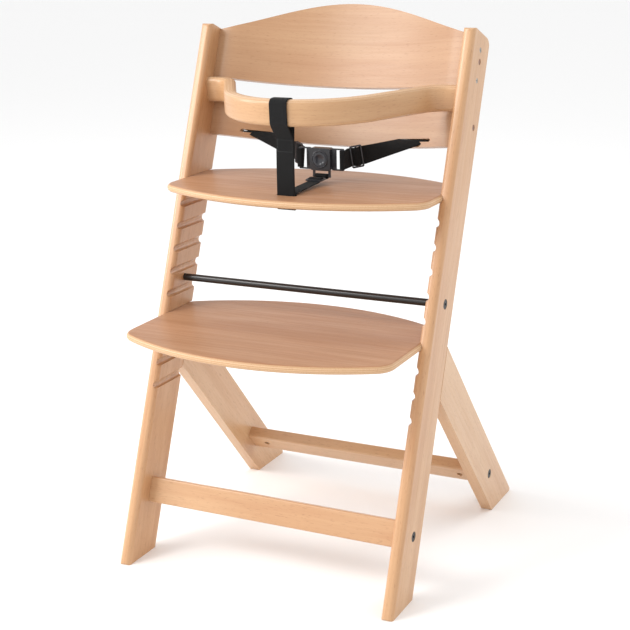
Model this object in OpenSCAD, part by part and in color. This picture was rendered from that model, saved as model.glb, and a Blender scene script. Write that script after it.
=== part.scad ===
// Wooden grow-along high chair: two leaning side rails on slanted rear legs,
// a seat and a footrest that slide in horizontal grooves, a bent safety bar
// and a three-point harness with a push-button buckle.
// Millimetres, +Z up, the chair faces -Y. X = 0 is the middle of the chair.

/* [Frame] */
// Width across the outer faces of the side rails
outer_w = 488; // [440:1:540]
// Height of the rails' front top corner
rail_top_z = 850; // [780:1:900]
// Angle between a rail and the vertical
lean = 21.6; // [19:0.1:24]
// Thickness of rails and rear legs
plank_t = 20; // [18:0.5:24]
// Width of a rail across its length
rail_w = 76; // [70:1:84]
// Radius of a rail's rounded front edges
nose_r = 8; // [5:0.5:9]
// Height where a leg's rear edge meets the rail
leg_top_z = 367; // [340:1:390]
// Angle between a rear leg and the vertical
leg_lean = 41.5; // [38:0.1:44]
// Width of a leg across its length
leg_w = 76; // [70:1:84]

/* [Grooves] */
// Height of the top groove's centre line
groove_top_z = 598; // [570:1:620]
// Step from one groove to the next
groove_pitch = 35.5; // [32:0.5:40]
// Number of grooves in a rail
groove_n = 10; // [8:1:11]
// Groove radius
groove_r = 6.5; // [5.5:0.1:7.5]
// Which groove holds the footrest, counted from the seat's
foot_groove = 6; // [4:1:8]

/* [Plates] */
// Thickness of the seat and footrest plates
plate_t = 12.4; // [11:0.1:12.4]
// Front of the seat, measured forward from the rails at its height
seat_reach = 129; // [100:1:150]
// Front of the footrest, measured forward from the rails at its height
foot_reach = 186; // [150:1:220]
// Rear of both plates, measured behind the rails' rear edge
plate_back = 68; // [50:1:80]
// Radius of the plates' front and rear curves
plate_curve_r = 430; // [380:5:600]

/* [Backrest] */
// Thickness of the bent backrest panels
panel_t = 11; // [9:0.5:12]
// How far the panels bow to the rear in the middle
panel_bow = 36; // [20:1:45]
// Lower edge of the upper panel, measured along the rail
upper_v = 829.5; // [810:0.5:850]
// Height of the arch above the upper panel's ends
arch_h = 57; // [40:1:70]
// Lower edge of the lower panel, measured along the rail
lower_v = 735.5; // [720:0.5:745]
// Height of the lower panel
lower_h = 66; // [60:1:72]

/* [Safety bar] */
// Height of the bar's section
bar_h = 41; // [38:1:48]
// Thickness of the bar's section
bar_t = 20; // [16:1:24]
// Radius of the bar's half-round front
bar_r = 153; // [146:1:158]
// Radius of the reverse bend at each end
bar_bend_r = 34; // [30:1:40]
// Top of the bar
bar_top_z = 761; // [755:1:765]
// How far the bar's ends sit behind the rails' front edge
bar_setback = 21; // [18:1:21]

/* [Crossbars and rod] */
// Width of both crossbars
crossbar_w = 42; // [36:1:48]
// Thickness of both crossbars
crossbar_t = 21; // [18:1:24]
// Centre of the front crossbar, measured along the rail
front_bar_v = 128; // [110:1:160]
// Centre of the rear crossbar, measured up the leg from the floor
rear_bar_u = 134; // [110:1:150]
// Diameter of the tie rod
rod_d = 12; // [10:0.5:14]
// Centre of the tie rod, measured along the rail
rod_v = 487; // [470:1:500]

/* [Harness] */
// Width of the webbing
web_w = 30; // [25:1:30]
// Thickness of the webbing
web_t = 1.6; // [1.2:0.1:2]
// Side of the square buckle body
buckle_w = 36; // [34:1:38]
// Depth of the buckle body
buckle_t = 14; // [13:0.5:16]
// Diameter of the push button
button_d = 23.6; // [20:0.1:23.6]

/* [Hidden] */

// Colours
beech = [0.87, 0.68, 0.47];
beech_face = [0.79, 0.58, 0.42];
ply_edge = [0.93, 0.76, 0.53];
black = [0.07, 0.07, 0.08];
webbing = [0.04, 0.04, 0.045];
steel = [0.62, 0.63, 0.65];
dark_wood = [0.45, 0.24, 0.12];

// Frame geometry, before the chair is centred on its footprint
slope = tan(lean);
rail_wh = rail_w / cos(lean);                       // rail width measured level
in_x = outer_w / 2 - plank_t;                       // inner face of a rail
rail_len = rail_top_z / cos(lean);                  // front edge, floor to top
leg_wh = leg_w / cos(leg_lean);
leg_top_y = rail_wh + slope * leg_top_z;
foot_rear_y = leg_top_y + leg_top_z * tan(leg_lean);
seat_z = groove_top_z;
foot_z = groove_top_z - foot_groove * groove_pitch;
seat_front_y = slope * seat_z - seat_reach;
foot_front_y = slope * foot_z - foot_reach;
foot_corner_r = 3;                                  // rear corner of a leg's foot
foot_tip_y = foot_rear_y - foot_corner_r * (1 / tan((90 - leg_lean) / 2) - 1);
shift_y = -(foot_tip_y + foot_front_y) / 2;         // puts the chair's middle at Y = 0

// Fasteners: positions are [along the rail, behind its front edge]
head_d = 16;
head_h = 2.5;
bolt_d = 6;
rod_at = [rod_v, 39];
front_bar_n = 42;
panel_screws_at = [[840, 41], [888, 38]];
panel_bolts_at = [[870, 41], [lower_v + lower_h / 2, 54.5]];
plug_d = 10;
screw_in = 15;                                       // depth of a screw in a panel
bolt_in = 18;
dowel_d = 8;
upper_n = 33.5;                                     // front face of the upper panel's ends
lower_n = 49;

// Harness places, before the chair is centred
slot_y = 155;                                       // strap slot in the seat
slot_w = 36;
slot_h = 9;
buckle_at = [10, 270, 643];
tongue_t = 3;
panel_slot_x = [112, 172];                          // waist strap slots, from the middle
panel_slot_v = 11;                                  // above the lower panel's lower edge
panel_slot_h = 5;

// ---------- helpers ----------
function arc(c, r, a0, a1, n) = [for (i = [0:n]) let (a = a0 + (a1 - a0) * i / n)
    [c[0] + r * cos(a), c[1] + r * sin(a)]];
function unit(v) = v / norm(v);

// Moves a part from the rail's frame (X, behind the front edge, along the rail)
module on_rail() {
    translate([0, shift_y, 0]) rotate([-lean, 0, 0]) children();
}
module on_leg() {
    translate([0, shift_y + foot_rear_y, 0]) rotate([leg_lean, 0, 0]) children();
}
module place() {
    translate([0, shift_y, 0]) children();
}
// A cylinder along +X that starts at x0
module x_rod(x0, len, d) {
    translate([x0, 0, 0]) rotate([0, 90, 0]) cylinder(h = len, d = d, $fn = 48);
}
// Draws a (Y, Z) outline as a plank from x0, t thick
module side_plank(x0, t, pts) {
    translate([x0, 0, 0]) rotate([90, 0, 90]) linear_extrude(t) polygon(pts);
}

// A plank's section across its length: rounded front edges, eased rear edges
function plank_section(w, t, rf, rb) = concat(
    arc([rf, rf], rf, 180, 270, 8), arc([t - rf, rf], rf, 270, 360, 8),
    arc([t - rb, w - rb], rb, 0, 90, 4), arc([rb, w - rb], rb, 90, 180, 4));

// Sweeps a section (list of [side, up]) along stations [point, side axis, up axis].
// The two halves' diagonals run the same way, so twisted webbing keeps its thickness.
module sweep(stations, section) {
    n = len(section);
    m = len(stations);
    pts = [for (s = stations) for (q = section) s[0] + s[1] * q[0] + s[2] * q[1]];
    skin = [for (i = [0:m - 2]) for (j = [0:n - 1])
        let (a = i * n + j, b = i * n + (j + 1) % n, c = a + n, d = b + n)
        each (j < n / 2 ? [[a, b, c], [b, d, c]] : [[a, b, d], [a, d, c]])];
    first = [for (j = [n - 1:-1:0]) j];
    last = [for (j = [0:n - 1]) (m - 1) * n + j];
    polyhedron(pts, concat(skin, [first], [last]), convexity = 6);
}

// Fillets each corner of a polygon with its own radius
function corner(a, b, c, r, n) =
    let (u = unit(a - b), w = unit(c - b), half = acos(u * w) / 2,
         mid = b + unit(u + w) * r / sin(half),
         p0 = b + u * r / tan(half) - mid, p1 = b + w * r / tan(half) - mid,
         a0 = atan2(p0[1], p0[0]), turn = atan2(p0[0] * p1[1] - p0[1] * p1[0], p0 * p1))
    [for (i = [0:n]) mid + r * [cos(a0 + turn * i / n), sin(a0 + turn * i / n)]];
function rounded(pts, radii, n = 6) = let (m = len(pts)) [for (i = [0:m - 1])
    each (radii[i] > 0 ? corner(pts[(i + m - 1) % m], pts[i], pts[(i + 1) % m], radii[i], n)
                       : [pts[i]])];
function box_outline(w, h, r) = rounded([[-w / 2, -h / 2], [w / 2, -h / 2],
    [w / 2, h / 2], [-w / 2, h / 2]], [r, r, r, r]);

// A flat ribbon's outline along an open path in a plane, t thick
function path_normal(p, i) =
    let (a = p[max(i - 1, 0)], b = p[min(i + 1, len(p) - 1)], d = unit(b - a)) [-d[1], d[0]];
function ribbon(p, t) = concat(
    [for (i = [0:len(p) - 1]) p[i] + path_normal(p, i) * t / 2],
    [for (i = [len(p) - 1:-1:0]) p[i] - path_normal(p, i) * t / 2]);

// ---------- rails and legs ----------
rail_outline = rounded([[0, 0], [rail_w, rail_w * slope], [rail_w, rail_len], [0, rail_len]],
    [3, 3, 16, 8]);
outer_x = outer_w / 2;
leg_bottom_z = (foot_rear_y - leg_wh - rail_wh) / (slope + tan(leg_lean));
leg_outline = rounded([[leg_top_y, leg_top_z], [rail_wh + slope * leg_bottom_z, leg_bottom_z],
    [foot_rear_y - leg_wh, 0], [foot_rear_y, 0]], [0, 0, 3, foot_corner_r]);
leg_dowel_v = [362, 402];
dowel_x = outer_x - 8.5;                             // clears the grooves
dowel_in = 22;                                       // depth of a dowel in each part
rear_bar_at = [-leg_w / 2, rear_bar_u];

module side_rail(side) {
    x0 = side < 0 ? -outer_x : in_x;
    out = side < 0 ? -outer_x : outer_x;
    color(beech) difference() {
        on_rail() intersection() {
            side_plank(x0, plank_t, rail_outline);
            translate([x0, 0, -40]) linear_extrude(rail_len + 80)
                polygon(plank_section(rail_w, plank_t, nose_r, 2));
        }
        for (i = [0:groove_n - 1]) {
            z = groove_top_z - i * groove_pitch;
            place() translate([side * in_x, slope * z - 15, z]) rotate([-90, 0, 0])
                cylinder(h = rail_wh + 30, r = groove_r, $fn = 48);
        }
        on_rail() {
            for (at = [rod_at, [front_bar_v, front_bar_n]]) translate([0, at[1], at[0]]) {
                x_rod(x0 - 1, plank_t + 2, bolt_d + 0.4);
                x_rod(out - head_h, 2 * head_h, head_d + 0.4);
            }
            for (at = panel_screws_at) translate([0, at[1], at[0]]) {
                x_rod(x0 - 1, plank_t + 2, 4.2);
                x_rod(out - 2.2, 4.4, 8.4);
            }
            for (at = panel_bolts_at) translate([0, at[1], at[0]]) {
                x_rod(x0 - 1, plank_t + 2, 7.2);
                x_rod(out - 8, 16, plug_d);
            }
            for (v = leg_dowel_v) translate([side * dowel_x, rail_w - dowel_in, v])
                rotate([-90, 0, 0]) cylinder(h = dowel_in + 1, d = dowel_d, $fn = 32);
            translate([side * in_x, front_bar_n, front_bar_v + dowel_rise])
                x_rod(-dowel_bite, 2 * dowel_bite, dowel_d);
        }
        place() drooped() for (z = bar_dowel_z) translate([side * in_x, bar_pin[0], z])
            x_rod(-dowel_bite, 2 * dowel_bite, dowel_d);
    }
}

module rear_leg(side) {
    x0 = side < 0 ? -outer_x : in_x;
    out = side < 0 ? -outer_x : outer_x;
    color(beech) difference() {
        place() side_plank(x0, plank_t, leg_outline);
        on_rail() for (v = leg_dowel_v) translate([side * dowel_x, rail_w - 1, v])
            rotate([-90, 0, 0]) cylinder(h = dowel_in + 1, d = dowel_d, $fn = 32);
        on_leg() translate([0, rear_bar_at[0], rear_bar_at[1]]) {
            x_rod(x0 - 1, plank_t + 2, bolt_d + 0.4);
            x_rod(out - head_h, 2 * head_h, head_d + 0.4);
            translate([side * in_x, 0, dowel_rise]) x_rod(-dowel_bite, 2 * dowel_bite, dowel_d);
        }
    }
}

// ---------- crossbars, rod and their fasteners ----------
dowel_bite = 11;                                     // depth of a cross dowel in a plank
dowel_rise = 13;                                     // dowel above the bolt
nut_d = 10;
nut_in = 32;                                         // barrel nut from the crossbar's end
bolt_len = 50;

// A crossbar centred on its axis: bolts along X, barrel nuts in blind holes from one face
module crossbar(open_side) {
    difference() {
        side_plank(-in_x, 2 * in_x, box_outline(crossbar_t, crossbar_w, 3));
        for (side = [-1, 1]) {
            translate([side * in_x, 0, 0]) x_rod(-44, 88, bolt_d + 0.4);
            translate([side * in_x, 0, dowel_rise]) x_rod(-dowel_in, 2 * dowel_in, dowel_d);
            translate([side * (in_x - nut_in), -7.5 * open_side, 0])
                rotate([-90 * open_side, 0, 0])
                    cylinder(h = crossbar_t, d = nut_d + 0.2, $fn = 40);
        }
    }
}
module at_front_bar() { on_rail() translate([0, front_bar_n, front_bar_v]) children(); }
module at_rear_bar() { on_leg() translate([0, rear_bar_at[0], rear_bar_at[1]]) children(); }
module front_crossbar() { color(beech) at_front_bar() crossbar(1); }
module rear_crossbar() { color(beech) at_rear_bar() crossbar(-1); }

module tie_rod() {
    color(black) on_rail() translate([0, rod_at[1], rod_at[0]]) difference() {
        x_rod(-in_x, 2 * in_x, rod_d);
        for (side = [-1, 1]) translate([side * in_x, 0, 0]) x_rod(-36, 72, bolt_d + 0.2);
    }
}

// One connector bolt from the outer face inwards, with a hex socket
module connector_bolt(side, len) {
    translate([side * outer_x, 0, 0]) mirror([side > 0 ? 1 : 0, 0, 0]) difference() {
        union() {
            x_rod(0.2, head_h - 0.2, head_d);
            x_rod(0.2, len, bolt_d);
        }
        rotate([0, 90, 0]) cylinder(h = 3, d = 4.6, center = true, $fn = 6);
    }
}
module rod_bolts() {
    color(black) on_rail() translate([0, rod_at[1], rod_at[0]])
        for (side = [-1, 1]) connector_bolt(side, bolt_len);
}
module front_crossbar_bolts() {
    color(black) at_front_bar() for (side = [-1, 1]) connector_bolt(side, bolt_len + 10);
}
module rear_crossbar_bolts() {
    color(black) at_rear_bar() for (side = [-1, 1]) connector_bolt(side, bolt_len + 10);
}
module barrel_nut(side) {
    difference() {
        translate([side * (in_x - nut_in), -7, 0]) rotate([-90, 0, 0])
            cylinder(h = 14, d = nut_d, $fn = 40);
        translate([side * in_x, 0, 0]) x_rod(-60, 120, bolt_d + 0.2);
    }
}
module barrel_nuts() {
    color(steel) for (side = [-1, 1]) {
        at_front_bar() barrel_nut(side);
        at_rear_bar() barrel_nut(side);
    }
}

// ---------- backrest panels ----------
bend_r = 120;                                        // reverse bend at a panel's ends
bend_a = 2 * atan(panel_bow / in_x);
bow_r = in_x / sin(bend_a) - bend_r;
// Plan of a panel's face, d behind its front face, from one rail to the other
function panel_face(n0, d) =
    let (c = [0, n0 + panel_bow - bow_r], e = [in_x, n0 + bend_r])
    concat(arc([-e[0], e[1]], bend_r - d, 270, 270 + bend_a, 6),
        arc(c, bow_r + d, 90 + bend_a, 90 - bend_a, 36),
        arc(e, bend_r - d, 270 - bend_a, 270, 6));
function reversed(v) = [for (i = [len(v) - 1:-1:0]) v[i]];
function panel_n(n0, x) = n0 + panel_bow - bow_r + sqrt(bow_r * bow_r - x * x);

module bent_panel(n0, outline, v_low, v_high) {
    intersection() {
        translate([0, 0, v_low - 5]) linear_extrude(v_high - v_low + 10)
            polygon(concat(panel_face(n0, 0), reversed(panel_face(n0, panel_t))));
        translate([0, n0 + 100, 0]) rotate([90, 0, 0]) linear_extrude(120) polygon(outline);
    }
}
module panel_bores() {
    for (side = [-1, 1]) {
        for (at = panel_screws_at) translate([side * in_x, at[1], at[0]])
            x_rod(-screw_in - 2, 2 * screw_in + 4, 4);
        for (at = panel_bolts_at) translate([side * in_x, at[1], at[0]])
            x_rod(-bolt_in - 2, 2 * bolt_in + 4, 5);
    }
}
arch_n = 48;
upper_end_v = rail_len - 1;
arch_edge = [for (i = [0:arch_n]) let (x = in_x - 2 * in_x * i / arch_n)
    [x, upper_end_v + arch_h * pow((1 + cos(180 * x / in_x)) / 2, 0.6)]];

module upper_backrest() {
    color(beech_face) on_rail() difference() {
        bent_panel(upper_n, concat([[-in_x, upper_v], [in_x, upper_v]], arch_edge),
            upper_v, upper_end_v + arch_h);
        panel_bores();
    }
}
module strap_slot(side) {
    w = panel_slot_x[1] - panel_slot_x[0] - panel_slot_h;
    x = side * (panel_slot_x[0] + panel_slot_x[1]) / 2;
    translate([x, 0, lower_v + panel_slot_v]) rotate([-90, 0, 0]) {
        translate([-w / 2, -panel_slot_h / 2, 0]) cube([w, panel_slot_h, 120]);
        for (e = [-1, 1]) translate([e * w / 2, 0, 0])
            cylinder(h = 120, d = panel_slot_h, $fn = 24);
    }
}
module lower_backrest() {
    v1 = lower_v + lower_h;
    color(beech_face) on_rail() difference() {
        bent_panel(lower_n, [[-in_x, lower_v], [in_x, lower_v], [in_x, v1], [-in_x, v1]],
            lower_v, v1);
        panel_bores();
        for (side = [-1, 1]) strap_slot(side);
    }
}

// Countersunk wood screws, long wood bolts and the wooden plugs over them
module on_both_sides() {
    for (side = [-1, 1]) translate([side * outer_x, 0, 0])
        mirror([side > 0 ? 1 : 0, 0, 0]) children();
}
module backrest_screws() {
    color(steel) on_rail() on_both_sides() for (at = panel_screws_at)
        translate([0, at[1], at[0]]) difference() {
            union() {
                x_rod(0.2, 1.9, 8);
                x_rod(0.2, plank_t + screw_in, 3.8);
            }
            for (a = [0, 90]) rotate([a, 0, 0]) translate([0, -0.5, -2.2]) cube([1.2, 1, 4.4]);
        }
}
module backrest_bolts() {
    color(steel) on_rail() on_both_sides() for (at = panel_bolts_at)
        translate([0, at[1], at[0]]) difference() {
            union() {
                x_rod(6, 2, plug_d - 0.4);
                x_rod(6, plank_t - 6, 7);
                x_rod(6, plank_t - 6 + bolt_in, 5);
            }
            translate([5.5, 0, 0]) rotate([0, 90, 0]) cylinder(h = 2, d = 4, $fn = 6);
        }
}
module bolt_plugs() {
    color(dark_wood) on_rail() on_both_sides() for (at = panel_bolts_at)
        translate([0, at[1], at[0]]) x_rod(0.6, 5.4, plug_d - 0.1);
}

// ---------- dowels ----------
module leg_dowels() {
    color(beech) on_rail() for (side = [-1, 1]) for (v = leg_dowel_v)
        translate([side * dowel_x, rail_w - dowel_in + 1, v]) rotate([-90, 0, 0])
            cylinder(h = 2 * dowel_in - 2, d = dowel_d, $fn = 32);
}
module cross_dowel(side, back) {
    translate([side * in_x, 0, 0]) mirror([side > 0 ? 0 : 1, 0, 0])
        x_rod(-back + 1, back + dowel_bite - 2, dowel_d);
}
module crossbar_dowels() {
    color(beech) for (side = [-1, 1]) {
        at_front_bar() translate([0, 0, dowel_rise]) cross_dowel(side, dowel_in);
        at_rear_bar() translate([0, 0, dowel_rise]) cross_dowel(side, dowel_in);
    }
}
module bar_dowels() {
    color(beech) place() drooped() for (side = [-1, 1]) for (z = bar_dowel_z)
        translate([0, bar_pin[0], z]) cross_dowel(side, dowel_in);
}

// ---------- safety bar ----------
bar_mid_z = bar_top_z - bar_h / 2;
bar_y = slope * bar_mid_z + bar_setback;             // front face of the bar's ends
bar_dowel_z = [bar_mid_z - 11, bar_mid_z + 11];
bar_reach = 179.5;                                   // ends' front face to the bar's front
bar_turn = 60.6;                                     // how far the half-round turns each way
bar_edge_r = 7;
bar_droop = 2.5;                                     // the bar's front hangs lower than its ends
bar_straight = (bar_reach - (bar_r + bar_bend_r) * (1 - cos(bar_turn))) / sin(bar_turn);
bar_c = [0, bar_y - bar_reach + bar_r];              // centre of the half-round
bar_e = [(bar_r + bar_bend_r) * sin(bar_turn) + bar_straight * cos(bar_turn),
    bar_y - bar_bend_r];                             // centre of the right-hand reverse bend
bar_front_y = bar_y - bar_reach;
bar_pin = [bar_y + bar_t / 2, bar_mid_z];            // [y, z] of the ends' middle
module drooped() {
    translate([0, bar_pin[0], bar_pin[1]]) rotate([bar_droop, 0, 0])
        translate([0, -bar_pin[0], -bar_pin[1]]) children();
}
// Middle line of the bar's right half as [point, outward direction]
function polar(c, r, a) = [c[0] + r * sin(a), c[1] - r * cos(a)];
function bar_half(turn_n, bend_n) = let (q = bar_t / 2) concat(
    [for (i = [0:turn_n]) let (a = bar_turn * i / turn_n)
        [polar(bar_c, bar_r - q, a), [sin(a), -cos(a)]]],
    [for (i = [0:bend_n]) let (a = bar_turn * (1 - i / bend_n))
        [[bar_e[0] - (bar_bend_r + q) * sin(a), bar_e[1] + (bar_bend_r + q) * cos(a)],
         [sin(a), -cos(a)]]],
    [[[in_x, bar_y + q], [0, -1]]]);
function flip_x(s) = [[-s[0][0], s[0][1]], [-s[1][0], s[1][1]]];
module safety_bar() {
    half = bar_half(20, 10);
    line = concat([for (i = [len(half) - 1:-1:1]) flip_x(half[i])], half);
    color(ply_edge) place() drooped() difference() {
        sweep([for (s = line) [[s[0][0], s[0][1], bar_mid_z], [s[1][0], s[1][1], 0], [0, 0, 1]]],
            rounded([[-bar_t / 2, -bar_h / 2], [bar_t / 2, -bar_h / 2],
                [bar_t / 2, bar_h / 2], [-bar_t / 2, bar_h / 2]],
                [bar_edge_r, bar_edge_r, bar_edge_r, bar_edge_r], 4));
        for (side = [-1, 1]) for (z = bar_dowel_z)
            translate([side * in_x, bar_pin[0], z]) x_rod(-dowel_in, 2 * dowel_in, dowel_d);
    }
}

// ---------- seat and footrest plates ----------
edge_r = plate_t / 2;
front_corner_r = 36;
rear_corner_r = 20;
// One corner of a plate: middle of its arc, and how far the long curve turns to reach it
function corner_x(rc) = in_x + edge_r - rc;
function corner_drop(rc) = sqrt(pow(plate_curve_r - rc, 2) - pow(corner_x(rc), 2));
function curve_turn(rc) = asin(corner_x(rc) / (plate_curve_r - rc));
function edge_arc(c, r, a0, a1, n) = [for (i = [0:n]) let (a = a0 + (a1 - a0) * i / n)
    [[c[0] + r * cos(a), c[1] + r * sin(a)], [cos(a), sin(a)]]];
// Plate outline, set in by the edge radius, as [point, outward direction]
function plate_edge(y0, y1) =
    let (rf = front_corner_r, rr = rear_corner_r, big = plate_curve_r - edge_r,
         bf = curve_turn(rf), br = curve_turn(rr),
         yf = y0 + plate_curve_r - corner_drop(rf), yr = y1 - plate_curve_r + corner_drop(rr))
    concat(edge_arc([0, y0 + plate_curve_r], big, 270 - bf, 270 + bf, 20),
        [for (i = [1:6]) edge_arc([corner_x(rf), yf], rf - edge_r, bf - 90, 0, 6)[i]],
        [for (i = [0:5]) edge_arc([corner_x(rr), yr], rr - edge_r, 0, 90 - br, 5)[i]],
        [for (i = [1:20]) edge_arc([0, y1 - plate_curve_r], big, 90 - br, 90 + br, 20)[i]],
        [for (i = [1:5]) edge_arc([-corner_x(rr), yr], rr - edge_r, 90 + br, 180, 5)[i]],
        [for (i = [0:5]) edge_arc([-corner_x(rf), yf], rf - edge_r, 180, 270 - bf, 6)[i]]);
module plate(y0, y1, z) {
    edge = plate_edge(y0, y1);
    n = len(edge);
    bands = 8;
    pts = [for (k = [0:bands]) let (a = 180 * k / bands - 90)
        for (e = edge) let (p = e[0] + e[1] * edge_r * cos(a)) [p[0], p[1], z + edge_r * sin(a)]];
    skin = [for (k = [0:bands - 1]) for (j = [0:n - 1])
        let (a = k * n + j, b = k * n + (j + 1) % n) each [[a, a + n, b], [b, a + n, b + n]]];
    bottom = [for (j = [0:n - 1]) j];
    top = [for (j = [n - 1:-1:0]) bands * n + j];
    polyhedron(pts, concat(skin, [bottom], [top]), convexity = 4);
}
module seat_plate() {
    color(beech_face) place() difference() {
        plate(seat_front_y, slope * seat_z + rail_wh + plate_back, seat_z);
        translate([harness_x, slot_y, seat_z - plate_t]) {
            translate([-slot_w / 2 + slot_h / 2, -slot_h / 2, 0])
                cube([slot_w - slot_h, slot_h, 2 * plate_t]);
            for (e = [-1, 1]) translate([e * (slot_w - slot_h) / 2, 0, 0])
                cylinder(h = 2 * plate_t, d = slot_h, $fn = 32);
        }
    }
}
module footrest_plate() {
    color(beech_face) place()
        plate(foot_front_y, slope * foot_z + rail_wh + plate_back, foot_z);
}

// ---------- harness: crotch strap round the bar and through the seat ----------
harness_x = 5;                                       // middle of the crotch strap
link_w = 22;                                         // narrower webbing under the buckle
wrap = 0.4 + web_t / 2;                              // bar's surface to the webbing's middle
stitch_at = [slot_y, 690];
stop_r = 3;
stop_z = seat_z - edge_r - 0.6 - stop_r - 0.4 - web_t;
tail_y = slot_y - 1.7;

function touch(c, r, p, way) = let (w = p - c)
    atan2(w[1], w[0]) + way * acos(r / norm(w));
function in_droop(p) = let (q = p - bar_pin, c = cos(bar_droop), s = sin(bar_droop))
    bar_pin + [q[0] * c - q[1] * s, q[0] * s + q[1] * c];
module crotch_strap() {
    r = bar_edge_r + wrap;
    ring_r = stop_r + 0.4;
    inner_r = bar_r - bar_t;
    hollow = inner_r - sqrt(pow(inner_r, 2) - pow(harness_x + web_w / 2, 2));
    y0 = bar_front_y + bar_edge_r;
    y1 = bar_front_y + bar_t - bar_edge_r + hollow;
    low = bar_top_z - bar_h + bar_edge_r;
    high = bar_top_z - bar_edge_r;
    front_low = in_droop([y0, low]);
    back_low = in_droop([y1, low]);
    p0 = stitch_at - [web_t / 2, 0];
    p1 = stitch_at + [web_t / 2, 0];
    front = 360 + touch(front_low, r, p0, -1);
    back = touch(back_low, r, p1, 1);
    d = bar_droop;
    over = concat([p0], arc(front_low, r, front, 180 + d, 3),
        arc(in_droop([y0, high]), r, 180 + d, 90 + d, 6),
        arc(in_droop([y1, high]), r, 90 + d, d, 6), arc(back_low, r, d, back, 2), [p1]);
    tail = [stitch_at + [0, 1], stitch_at - [0.4, 20], [tail_y, 640], [tail_y, stop_z + ring_r + 0.1]];
    color(webbing) place() {
        side_plank(harness_x - web_w / 2, web_w, ribbon(over, web_t));
        side_plank(harness_x - web_w / 2, web_w, ribbon(tail, 2 * web_t));
        translate([0, slot_y, stop_z]) difference() {
            x_rod(harness_x - web_w / 2, web_w, 2 * (ring_r + web_t));
            x_rod(harness_x - web_w / 2 - 1, web_w + 2, 2 * ring_r);
        }
    }
}
module seat_strap_stop() {
    color(steel) place() translate([0, slot_y, stop_z]) x_rod(harness_x - 23, 46, 2 * stop_r);
}

// Webbing weaves through an adjuster: [along, towards the back]
weave = [[-13, 2.4], [-6.9, 2.4], [-2.9, -2.4], [2.9, -2.4], [6.9, 2.4], [13, 2.4]];
// A three-bar adjuster: along X, webbing's width along Z
module three_bar(w) {
    rotate([90, 0, 0]) translate([0, 0, -1.2]) linear_extrude(2.4) difference() {
        polygon(box_outline(20, w + 6.4, 2.5));
        for (e = [-1, 1]) translate([e * 4.6, 0]) polygon(box_outline(5.8, w + 1, 0.8));
    }
}

// Strap from the seat's slot to the loop under the buckle
loop_at = [buckle_at[1], 615];
loop_r = 2.2;
link_adjust = [247, 613.4];
link_rise = 3.6;                                     // slope of the webbing there, in degrees
function turned(c, a, q) = c + [q[0] * cos(a) - q[1] * sin(a), q[0] * sin(a) + q[1] * cos(a)];
module buckle_strap() {
    r = loop_r + 0.35 + web_t / 2;
    y0 = tail_y + 1.5 * web_t;
    path = concat([[y0, 591.5]], arc([y0 + 8, 600], 8, 180, 98, 5),
        [for (q = weave) turned(link_adjust, link_rise, [q[0], -q[1]])],
        arc(loop_at, r, -85, 95, 8), [[262, 615.4]]);
    color(webbing) place()
        side_plank(buckle_at[0] - link_w / 2, link_w, ribbon(path, web_t));
}
module crotch_adjuster() {
    color(black) place() translate([buckle_at[0], link_adjust[0], link_adjust[1]])
        rotate([link_rise, 0, 0]) rotate([0, 0, 90]) rotate([90, 0, 0]) three_bar(link_w);
}

// ---------- harness: buckle ----------
cover_d = 5;                                         // depth of the front cover
module at_buckle() { translate([buckle_at[0], shift_y + buckle_at[1], buckle_at[2]]) children(); }
// An (X, Z) outline drawn as a slab from y0 to y1, measured from the buckle's middle
module buckle_slab(y0, y1, pts) {
    at_buckle() translate([0, y1, 0]) rotate([90, 0, 0]) linear_extrude(y1 - y0) polygon(pts);
}
module y_rod(y0, y1, d) {
    at_buckle() translate([0, y0, 0]) rotate([-90, 0, 0]) cylinder(h = y1 - y0, d = d, $fn = 64);
}
front_y = -buckle_t / 2;
back_y = buckle_t / 2;
split_y = front_y + cover_d;
tongue_in = 10.5;                                    // length of a tongue's tab
tab_h = 20;
button_travel = 2.5;
pocket_d = 12;

module buckle_body() {
    loop_z = loop_at[1] - buckle_at[2];
    color(black) {
        difference() {
            buckle_slab(split_y, back_y, box_outline(buckle_w, buckle_w, 4));
            at_buckle() translate([-buckle_w / 2 - 1, split_y - 1, -tab_h / 2 - 0.4])
                cube([buckle_w + 2, 1 + tongue_t / 2 - split_y + 0.6, tab_h + 0.8]);
            y_rod(split_y - 1, back_y - 1.5, pocket_d);
        }
        difference() {
            buckle_slab(-1.6, 1.6, rounded([[-15.5, loop_z], [15.5, loop_z],
                [15.5, -buckle_w / 2 + 1], [-15.5, -buckle_w / 2 + 1]], [2, 2, 0, 0]));
            at_buckle() translate([-12, -3, loop_z]) cube([24, 6, -loop_z - buckle_w / 2 - 1.5]);
        }
        at_buckle() translate([0, 0, loop_z]) x_rod(-15.5, 31, 2 * loop_r);
    }
}
module buckle_cover() {
    color(black) difference() {
        union() {
            buckle_slab(front_y, split_y, box_outline(buckle_w, buckle_w, 4));
            y_rod(front_y - 1, front_y + 1, button_d + 5);
        }
        y_rod(front_y - 3, split_y + 1, button_d + 0.4);
    }
}
module buckle_button() {
    rim_y = front_y - 1.8;
    dish = 1.8;
    dish_r = 21;
    color(black) difference() {
        union() {
            y_rod(rim_y, split_y - button_travel - 0.4, button_d);
            y_rod(split_y - button_travel - 1, back_y - 1.5 - button_travel - 0.4, 6);
        }
        at_buckle() translate([0, rim_y - dish_r + dish, 0]) sphere(r = dish_r, $fn = 96);
    }
}
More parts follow.
